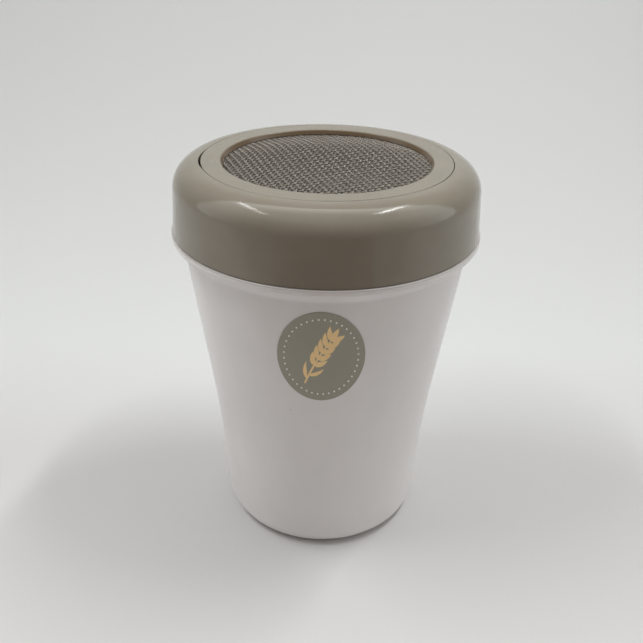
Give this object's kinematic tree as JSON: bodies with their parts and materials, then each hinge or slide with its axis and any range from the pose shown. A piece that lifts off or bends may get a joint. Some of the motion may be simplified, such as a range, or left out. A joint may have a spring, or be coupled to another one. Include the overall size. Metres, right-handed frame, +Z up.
{
  "type": "flour sifter",
  "caption": "Hand shaker for flour or icing sugar: tapered plastic cup, rounded screw lid and a domed woven-wire sieve flush in the lid's top.",
  "frame": {"origin": "centre of the face that the cup stands on", "axes": "+Z up along the cup's axis, -Y towards the front with the label"},
  "size_m": [0.091, 0.091, 0.1207],
  "materials": {
    "cup_plastic": "satin moulded polypropylene, off-white",
    "label_print": "matt printed film, olive grey with a pale motif",
    "seal_silicone": "matt translucent-white silicone",
    "lid_plastic": "glossy moulded polypropylene, taupe",
    "bezel_plastic": "glossy moulded polypropylene, taupe",
    "clamp_plastic": "moulded polypropylene, taupe, satin inside",
    "steel_wire": "drawn stainless steel wire"
  },
  "bodies": {
    "cup_body": {"cup": "cup_plastic", "front_label": "label_print"},
    "seal_body": {"lid_seal": "seal_silicone"},
    "lid_body": {"lid_shell": "lid_plastic"},
    "sieve_body": {"sieve_bezel": "bezel_plastic", "sieve_clamp_ring": "clamp_plastic", "mesh_warp_wires": "steel_wire", "mesh_weft_wires": "steel_wire"}
  },
  "joints": [
    {"name": "lid_rise", "type": "slide", "parent": "cup_body", "child": "seal_body", "axis": [0, 0, 1], "range_m": [0, 0.005]},
    {"name": "lid_turn", "type": "hinge", "parent": "seal_body", "child": "lid_body", "pos_m": [0, 0, 0.107], "axis": [0, 0, 1], "range_deg": [0, 450]},
    {"name": "sieve_lift", "type": "slide", "parent": "lid_body", "child": "sieve_body", "axis": [0, 0, 1], "range_m": [0, 0.02]}
  ],
  "couplings": [
    {"joint": "lid_rise", "follows": "lid_turn", "m_per_rad": 0.00063662}
  ]
}
